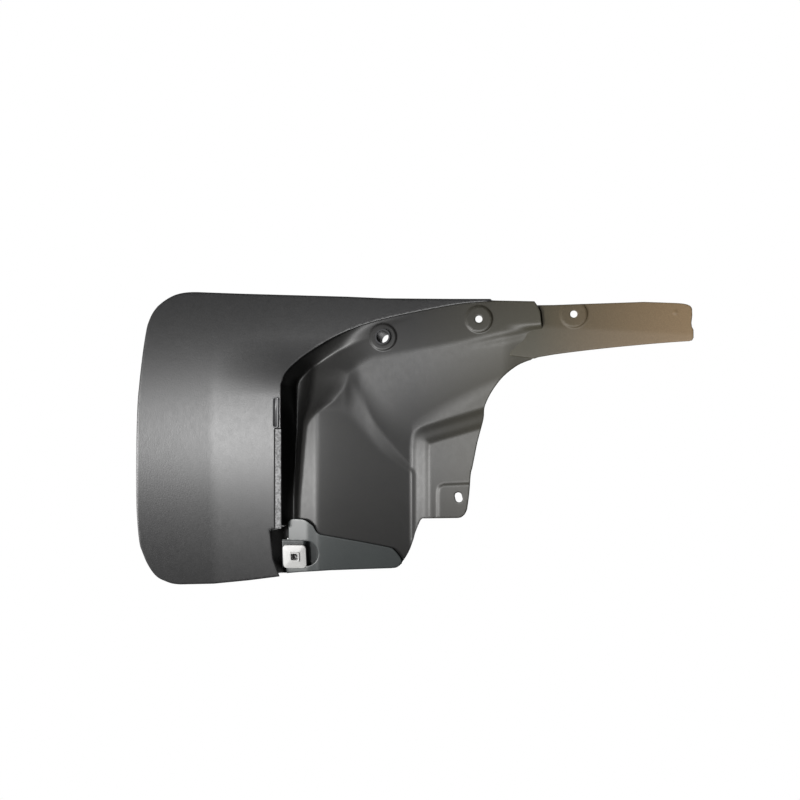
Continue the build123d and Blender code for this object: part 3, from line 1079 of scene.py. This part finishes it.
def pocket_wall(wall):
    """The U of wall between the plate and the pocket's floor, as a closed solid."""
    cx, cz = POCKET_CENTRE
    half_turn = np.linspace(0, math.pi, 31)
    rise = np.linspace(-101.5, cz - 1.0, 12)
    outer = POCKET_RADIUS + wall
    verts, faces = [], []
    for radius, deep in ((POCKET_RADIUS, False), (outer, False), (outer, True), (POCKET_RADIUS, True)):
        arc = [(cx - radius * math.cos(a), cz + radius * math.sin(a)) for a in half_turn]
        left = [(cx - radius, z) for z in rise]
        right = [(cx + radius, z) for z in rise[::-1]]
        line = np.array([*left, *arc, *right])
        x, z = line[:, 0], line[:, 1]
        y = pocket_floor(x, z) + 1.2 if deep else gusset_front(x, z) + 0.9
        verts += [(a, b, c) for a, b, c in zip(x, y, z)]
    n = len(line)
    for row in range(4):
        for i in range(n - 1):
            a, b = row * n + i, ((row + 1) % 4) * n + i
            faces.append((a, a + 1, b + 1, b))
    faces.append(tuple(row * n for row in range(4)))
    faces.append(tuple(row * n + n - 1 for row in range(4)))
    return [Vector(v) * MM for v in verts], faces


class MUDFLAP_OT_lower_gusset(bpy.types.Operator):
    """Gusset plate with the open pocket that holds the nut"""

    bl_idname = "mud_flap.lower_gusset"
    bl_label = "Lower gusset"
    bl_options = {"REGISTER", "UNDO"}

    def execute(self, context):
        size, tint = sizes(context), colours(context)
        piece = moulded_sheet(
            "gusset_moulding",
            [gusset_ring()],
            gusset_front,
            size.gusset_thickness / MM,
            size.mesh_spacing / MM * 0.7,
            rim=0.7,
        )
        reach = (size.gusset_thickness + size.liner_thickness) / MM + STUD_PROUD
        pins = [stud(gusset_front, x, z, reach) for x, z in GUSSET_STUDS]
        left, right, low, high = 214.2, 226.8, -95.3, -82.7
        corners = [(left, low), (right, low), (right, high), (left, high), (left, low)]
        opening = straight(corners, 1.2)
        outlines = [pocket_ring(*SHELF_OUTLINE), rounded(opening[:-1])]
        shelf = moulded_sheet("pocket_shelf", outlines, pocket_floor, 1.4, 1.8, rim=0.3)
        joined(piece, taken(shelf), pocket_wall(1.5), *pins)
        skin = moulded(
            "Smooth gusset plastic", tuple(tint.gusset),
            grain=1.1, grain_height=0.03, roughness=0.45, sheen=0.5, mottle=0.05, speckle=0.1,
        )
        finish_piece(piece, skin, ["lower_gusset"])
        return {"FINISHED"}


class MUDFLAP_OT_edge_trim(bpy.types.Operator):
    """Grained strip in the flap's free edge, and the clip at its end"""

    bl_idname = "mud_flap.edge_trim"
    bl_label = "Edge strip and clip"
    bl_options = {"REGISTER", "UNDO"}

    def execute(self, context):
        tint = colours(context)
        ring = loop(straight([(92, -108), (192, -108), (192, -102), (92, -102), (92, -108)], 1.5)[:-1])
        strip = moulded_sheet("grained_edge_strip", [ring], strip_front, 1.6, 1.2, rim=0.5)
        rubber = moulded(
            "Coarse strip rubber", tuple(tint.strip),
            grain=2.2, grain_height=0.5, roughness=0.6, sheen=0.5, mottle=0.08, speckle=0.75,
        )
        finish_piece(strip, rubber, ["edge_strip"])

        place = seat(flap_front, *CLIP_PLACE)
        frame_rings = []
        for width, tall, corner, height in (
            (30.2, 5.8, 1.6, 0.2), (31.0, 6.6, 2.0, 0.6), (31.0, 6.6, 2.0, 1.5), (30.4, 6.0, 1.8, 1.9),
            (28.6, 4.2, 1.4, 1.9), (28.2, 3.8, 1.2, 1.5), (28.2, 3.8, 1.2, 0.6),
        ):
            frame_rings.append([(x, y, height) for x, y in rounded_bar(width, tall, corner)])
        clip_verts, clip_faces = capped(frame_rings, place)
        clip = solid_object("edge_clip_moulding", clip_verts, clip_faces)
        web = [[(x, y, h) for x, y in rounded_bar(24.0, 2.2, 0.6)] for h in (0.4, -6.4)]
        leg_sections = ((23.4, 5.4, -6.3), (24.6, 6.4, -6.8), (24.6, 6.4, -7.4), (23.6, 5.6, -7.9))
        leg = [[(x, y, h) for x, y in rounded_bar(w, tall, 0.8)] for w, tall, h in leg_sections]
        joined(clip, capped(web, place), capped(leg, place))
        nylon = moulded(
            "Black clip nylon", tuple(tint.clip),
            grain=1.0, grain_height=0.03, roughness=0.45, sheen=0.5, mottle=0.08, speckle=0.1,
        )
        finish_piece(clip, nylon, ["edge_clip"])
        return {"FINISHED"}


class MUDFLAP_OT_square_nut(bpy.types.Operator):
    """White nylon nut with a raised square frame round its socket"""

    bl_idname = "mud_flap.square_nut"
    bl_label = "Square nut"
    bl_options = {"REGISTER", "UNDO"}

    def execute(self, context):
        size, tint = sizes(context), colours(context)
        side = size.nut_side / MM
        # Side, corner radius and height of each section, from the screw's bore out over the flange.
        sections = [
            (2.8, 1.4, -15.9), (2.8, 1.4, -13.4), (5.0, 2.5, -12.4), (5.0, 2.5, -9.2),
            (6.8, 1.3, -9.0), (6.8, 1.3, 0.9), (7.4, 1.5, 1.2), (9.6, 1.0, 1.2),
            (10.0, 1.1, 0.9), (10.2, 1.2, 0.1), (10.8, 1.4, 0.0),
            (side - 1.6, 3.4, 0.0), (side - 0.6, 3.8, -0.25), (side, 4.0, -0.9), (side, 4.0, -3.2),
            (side - 0.8, 3.8, -4.0), (12.2, 1.0, -4.0), (12.0, 0.8, -4.4), (12.0, 0.8, -15.0),
            (11.0, 0.8, -15.9),
        ]
        place = seat(gusset_flat, *NUT_CENTRE)
        rings = [[(x, y, h) for x, y in rounded_bar(s, s, c, 6)] for s, c, h in sections]
        verts = [place @ (Vector(p) * MM) for ring in rings for p in ring]
        nut = solid_object("nylon_square_nut", verts, ring_faces(len(rings), len(rings[0])))
        sharpen(nut)
        skin = moulded(
            "Natural nut nylon", tuple(tint.nut),
            grain=1.6, grain_height=0.02, roughness=0.42, sheen=0.5, mottle=0.05, speckle=0.06,
        )
        finish_piece(nut, skin, ["square_nut"])
        return {"FINISHED"}


class MUDFLAP_OT_hole_bush(bpy.types.Operator):
    """Steel bush in the lower screw hole"""

    bl_idname = "mud_flap.hole_bush"
    bl_label = "Hole bush"
    bl_options = {"REGISTER", "UNDO"}

    def execute(self, context):
        size, tint = sizes(context), colours(context)
        bore = size.lower_hole_radius / MM
        profile = [
            (bore, 1.5), (bore + 0.4, 1.95), (bore + 1.8, 1.95), (bore + 2.2, 1.6), (bore + 2.2, 1.0),
            (bore + 1.18, 1.0), (bore + 1.18, -21.6), (bore + 0.8, -22.0), (bore + 0.3, -22.0),
            (bore, -21.7),
        ]
        place = seat(liner_front, *LOWER_HOLE)
        verts, faces = turned(profile, 64)
        bush = solid_object("hole_bush_sleeve", [place @ (Vector(v) * MM) for v in verts], faces)
        sharpen(bush)
        steel = metal("Passivated bush steel", tuple(tint.bush), roughness=0.7)
        finish_piece(bush, steel, ["lower_hole_bush"])
        return {"FINISHED"}


# ---------------------------------------------------------------- push nuts


def push_nut_pattern(radius):
    """One dished washer with its ring of gripping teeth, about the origin, teeth to the rear."""
    teeth, around = 6, 72
    tooth_radius, slit_radius = 2.45, 3.5
    outline = []
    for k in range(around):
        a = 2 * math.pi * k / around
        phase = (k * teeth / around) % 1.0
        outline.append((a, tooth_radius if 0.12 < phase < 0.88 else slit_radius))
    rows = [
        ("in", -1.0), (3.9, -0.62), (4.5, 0.0), (radius - 0.2, 0.0), (radius, -0.2), (radius, -0.6),
        (radius - 0.2, -0.8), (4.5, -0.8), (3.9, -1.42), ("in", -1.8),
    ]
    verts = []
    for r, h in rows:
        for a, inner in outline:
            reach = inner if r == "in" else r
            height = h + (0.5 if r == "in" and inner == slit_radius else 0.0)
            verts.append((reach * math.cos(a) * MM, reach * math.sin(a) * MM, height * MM))
    return solid_object("push_nut_pattern", verts, ring_faces(len(rows), around))


def placing_tree(pattern, material):
    """Geometry Nodes: stands the pattern on every point, with a seeded turn about its own axis."""
    tree = bpy.data.node_groups.new("Push nuts on studs", "GeometryNodeTree")
    socket = tree.interface.new_socket
    socket("Seats", in_out="INPUT", socket_type="NodeSocketGeometry")
    inputs = {
        "Pattern": socket("Pattern", in_out="INPUT", socket_type="NodeSocketObject"),
        "Turn": socket("Turn", in_out="INPUT", socket_type="NodeSocketFloat"),
        "Seed": socket("Seed", in_out="INPUT", socket_type="NodeSocketInt"),
        "Finish": socket("Finish", in_out="INPUT", socket_type="NodeSocketMaterial"),
    }
    socket("Nuts", in_out="OUTPUT", socket_type="NodeSocketGeometry")
    new, link = tree.nodes.new, tree.links.new
    enter, leave = new("NodeGroupInput"), new("NodeGroupOutput")
    facing = new("GeometryNodeInputNamedAttribute")
    facing.data_type = "FLOAT_VECTOR"
    facing.inputs["Name"].default_value = "facing"
    aim = new("FunctionNodeAlignRotationToVector")
    aim.axis = "Z"
    link(facing.outputs["Attribute"], aim.inputs["Vector"])
    turn = new("FunctionNodeRandomValue")
    turn.data_type = "FLOAT"
    link(enter.outputs["Turn"], turn.inputs[3])
    link(enter.outputs["Seed"], turn.inputs["Seed"])
    spin = new("FunctionNodeAxisAngleToRotation")
    spin.inputs["Axis"].default_value = (0, 0, 1)
    link(turn.outputs[1], spin.inputs["Angle"])
    both = new("FunctionNodeRotateRotation")
    both.rotation_space = "LOCAL"
    link(aim.outputs["Rotation"], both.inputs["Rotation"])
    link(spin.outputs["Rotation"], both.inputs["Rotate By"])
    source = new("GeometryNodeObjectInfo")
    link(enter.outputs["Pattern"], source.inputs["Object"])
    stand = new("GeometryNodeInstanceOnPoints")
    link(enter.outputs["Seats"], stand.inputs["Points"])
    link(source.outputs["Geometry"], stand.inputs["Instance"])
    link(both.outputs["Rotation"], stand.inputs["Rotation"])
    real = new("GeometryNodeRealizeInstances")
    link(stand.outputs["Instances"], real.inputs["Geometry"])
    paint = new("GeometryNodeSetMaterial")
    link(real.outputs["Geometry"], paint.inputs["Geometry"])
    link(enter.outputs["Finish"], paint.inputs["Material"])
    link(paint.outputs["Geometry"], leave.inputs["Nuts"])
    values = {"Pattern": pattern, "Turn": math.pi / 3, "Seed": 4, "Finish": material}
    return tree, {inputs[name].identifier: value for name, value in values.items()}


def push_nuts(name, surface, places, behind, pattern, material, nodes):
    """A group of push nuts, one on each stud, as one plain mesh."""
    seats = [seat(surface, x, z) @ Matrix.Translation((0, 0, -behind * MM)) for x, z in places]
    mesh = bpy.data.meshes.new(name + "_seats")
    mesh.from_pydata([s.translation for s in seats], [], [])
    facing = mesh.attributes.new("facing", "FLOAT_VECTOR", "POINT")
    for i, s in enumerate(seats):
        facing.data[i].vector = s.col[2].to_3d()
    holder = bpy.data.objects.new(name + "_seats", mesh)
    bpy.context.scene.collection.objects.link(holder)
    tree, values = placing_tree(pattern, material)
    modifier = holder.modifiers.new("Placing", "NODES")
    modifier.node_group = tree
    for identifier, value in values.items():
        modifier[identifier] = value
    holder.update_tag()
    graph = bpy.context.evaluated_depsgraph_get()
    done = bpy.data.meshes.new_from_object(holder.evaluated_get(graph))
    if len(done.polygons) != len(places) * len(pattern.data.polygons):
        raise RuntimeError(f"{name}: the push nuts were not placed")
    bpy.data.objects.remove(holder)
    bpy.data.node_groups.remove(tree)
    done.name = name
    piece = bpy.data.objects.new(name, done)
    bpy.context.scene.collection.objects.link(piece)
    sharpen(piece)
    finish_piece(piece, material, nodes)


class MUDFLAP_OT_push_nuts(bpy.types.Operator):
    """Dished push nuts on the studs behind the seam, the arm and the gusset"""

    bl_idname = "mud_flap.push_nuts"
    bl_label = "Push nuts"
    bl_options = {"REGISTER", "UNDO"}

    def execute(self, context):
        size, tint = sizes(context), colours(context)
        steel = metal("Phosphated push nut steel", tuple(tint.push_nut), roughness=0.4)
        pattern = push_nut_pattern(size.push_nut_radius / MM)
        flap, liner = size.flap_thickness / MM, size.liner_thickness / MM
        arm, gusset = size.arm_thickness / MM, size.gusset_thickness / MM
        groups = (
            ("seam_push_nut", flap_front, SEAM_STUDS, flap + liner + 0.9),
            ("arm_push_nut", liner_front, ARM_STUDS, liner + arm + 0.7),
            ("gusset_push_nut", gusset_front, GUSSET_STUDS, gusset + liner + 0.9),
        )
        for name, surface, places, behind in groups:
            nodes = [f"{name}_{i + 1}" for i in range(len(places))]
            push_nuts(name + "s", surface, places, behind, pattern, steel, nodes)
        bpy.data.objects.remove(pattern)
        return {"FINISHED"}


# ---------------------------------------------------------------- stage


class MUDFLAP_OT_stage(bpy.types.Operator):
    """Pale floor, soft lights and the camera in front of the piece"""

    bl_idname = "mud_flap.stage"
    bl_label = "Stage"
    bl_options = {"REGISTER", "UNDO"}

    def execute(self, context):
        self.floor(tuple(colours(context).floor))
        self.lights()
        self.camera()
        return {"FINISHED"}

    def floor(self, tone):
        bm = bmesh.new()
        bmesh.ops.create_circle(bm, cap_ends=True, radius=FLOOR_RADIUS, segments=96)
        bmesh.ops.translate(bm, verts=bm.verts, vec=(0, 0, FLOOR_Z))
        mesh = bpy.data.meshes.new("studio_floor")
        bm.to_mesh(mesh)
        bm.free()
        floor = bpy.data.objects.new("studio_floor", mesh)
        bpy.context.scene.collection.objects.link(floor)
        material = moulded(
            "Pale studio floor", tone,
            grain=9.0, grain_height=0.05, roughness=0.85, sheen=0.2, mottle=0.015, speckle=0.01,
        )
        mesh.materials.append(material)

    def lights(self):
        scene = bpy.context.scene
        target = Vector((0.09, 0.0, 0.0))
        for name, place, wide, tall, power, tint in LAMPS:
            lamp = bpy.data.lights.new(name, "AREA")
            lamp.shape = "RECTANGLE"
            lamp.size, lamp.size_y, lamp.energy, lamp.color = wide, tall, power, tint
            holder = bpy.data.objects.new(name, lamp)
            holder.location = place
            holder.rotation_euler = (target - Vector(place)).to_track_quat("-Z", "Y").to_euler()
            holder.visible_camera = False
            scene.collection.objects.link(holder)
        world = bpy.data.worlds.new("Studio")
        world.use_nodes = True
        scene.world = world
        tree = world.node_tree
        tree.nodes.clear()
        out = node(tree, "ShaderNodeOutputWorld")
        seen, fill = node(tree, "ShaderNodeBackground"), node(tree, "ShaderNodeBackground")
        seen.inputs["Color"].default_value = (1, 1, 1, 1)
        fill.inputs["Color"].default_value = (1, 1, 1, 1)
        fill.inputs["Strength"].default_value = WORLD_FILL
        which, path = node(tree, "ShaderNodeMixShader"), node(tree, "ShaderNodeLightPath")
        wire(tree, path, "Is Camera Ray", which, "Fac")
        tree.links.new(fill.outputs[0], which.inputs[1])
        tree.links.new(seen.outputs[0], which.inputs[2])
        tree.links.new(which.outputs[0], out.inputs["Surface"])

    def camera(self):
        scene = bpy.context.scene
        lens = bpy.data.cameras.new("Camera")
        lens.lens = CAMERA_LENS
        lens.sensor_width = 36.0
        lens.clip_end = 60.0
        holder = bpy.data.objects.new("Camera", lens)
        place = Matrix(((0, -1, 0), (0, 0, -1), (1, 0, 0))).to_4x4()
        place.translation = CAMERA_PLACE
        holder.matrix_world = place
        scene.collection.objects.link(holder)
        scene.camera = holder
        scene.view_settings.view_transform = "Standard"
        scene.view_settings.look = "None"
        scene.view_settings.exposure = 0.0
        scene.view_settings.gamma = 1.0


# In metres; the lens in millimetres.
FLOOR_Z = -1.35
FLOOR_RADIUS = 7.2
CAMERA_PLACE = (0.063, -5.0, 0.017)
CAMERA_LENS = 225.0
# Each lamp: name, place, width and height in metres, watts, colour.
LAMPS = (
    ("Key softbox", (0.33, -0.72, -1.12), 0.30, 0.30, 30.0, (1.0, 0.995, 0.985)),
    ("Broad softbox", (0.13, -2.0, -1.02), 0.62, 0.25, 42.0, (1.0, 1.0, 1.0)),
    ("Front fill", (0.4, -3.6, 1.6), 1.6, 1.6, 2.0, (1.0, 1.0, 1.0)),
    ("Rear left", (1.9, 2.4, 1.6), 1.4, 1.4, 110.0, (1.0, 1.0, 1.0)),
    ("Rear right", (-1.9, 2.2, 1.4), 1.4, 1.4, 80.0, (1.0, 1.0, 1.0)),
)
WORLD_FILL = 0.02


class MUDFLAP_PT_panel(bpy.types.Panel):
    """Lists the sizes, the colours and the building steps"""

    bl_idname = "MUDFLAP_PT_panel"
    bl_label = "Mud Flap"
    bl_space_type = "VIEW_3D"
    bl_region_type = "UI"
    bl_category = "Mud Flap"

    def draw(self, context):
        layout = self.layout
        for group in (sizes(context), colours(context)):
            box = layout.box()
            for key in group.bl_rna.properties.keys():
                if key not in ("rna_type", "name"):
                    box.prop(group, key)
        for step in STEPS:
            layout.operator(step.bl_idname)


STEPS = (
    MUDFLAP_OT_flap_panel,
    MUDFLAP_OT_arch_liner,
    MUDFLAP_OT_upper_arm,
    MUDFLAP_OT_lower_gusset,
    MUDFLAP_OT_edge_trim,
    MUDFLAP_OT_square_nut,
    MUDFLAP_OT_hole_bush,
    MUDFLAP_OT_push_nuts,
    MUDFLAP_OT_stage,
)
CLASSES = (MudFlapSizes, MudFlapColours, *STEPS, MUDFLAP_PT_panel)


def register():
    for cls in CLASSES:
        bpy.utils.register_class(cls)
    bpy.types.Scene.mud_flap_sizes = bpy.props.PointerProperty(type=MudFlapSizes)
    bpy.types.Scene.mud_flap_colours = bpy.props.PointerProperty(type=MudFlapColours)


def unregister():
    del bpy.types.Scene.mud_flap_colours
    del bpy.types.Scene.mud_flap_sizes
    for cls in reversed(CLASSES):
        bpy.utils.unregister_class(cls)


def main():
    register()
    for step in (
        bpy.ops.mud_flap.flap_panel,
        bpy.ops.mud_flap.arch_liner,
        bpy.ops.mud_flap.upper_arm,
        bpy.ops.mud_flap.lower_gusset,
        bpy.ops.mud_flap.edge_trim,
        bpy.ops.mud_flap.square_nut,
        bpy.ops.mud_flap.hole_bush,
        bpy.ops.mud_flap.push_nuts,
        bpy.ops.mud_flap.stage,
    ):
        step()


if __name__ == "__main__":
    main()
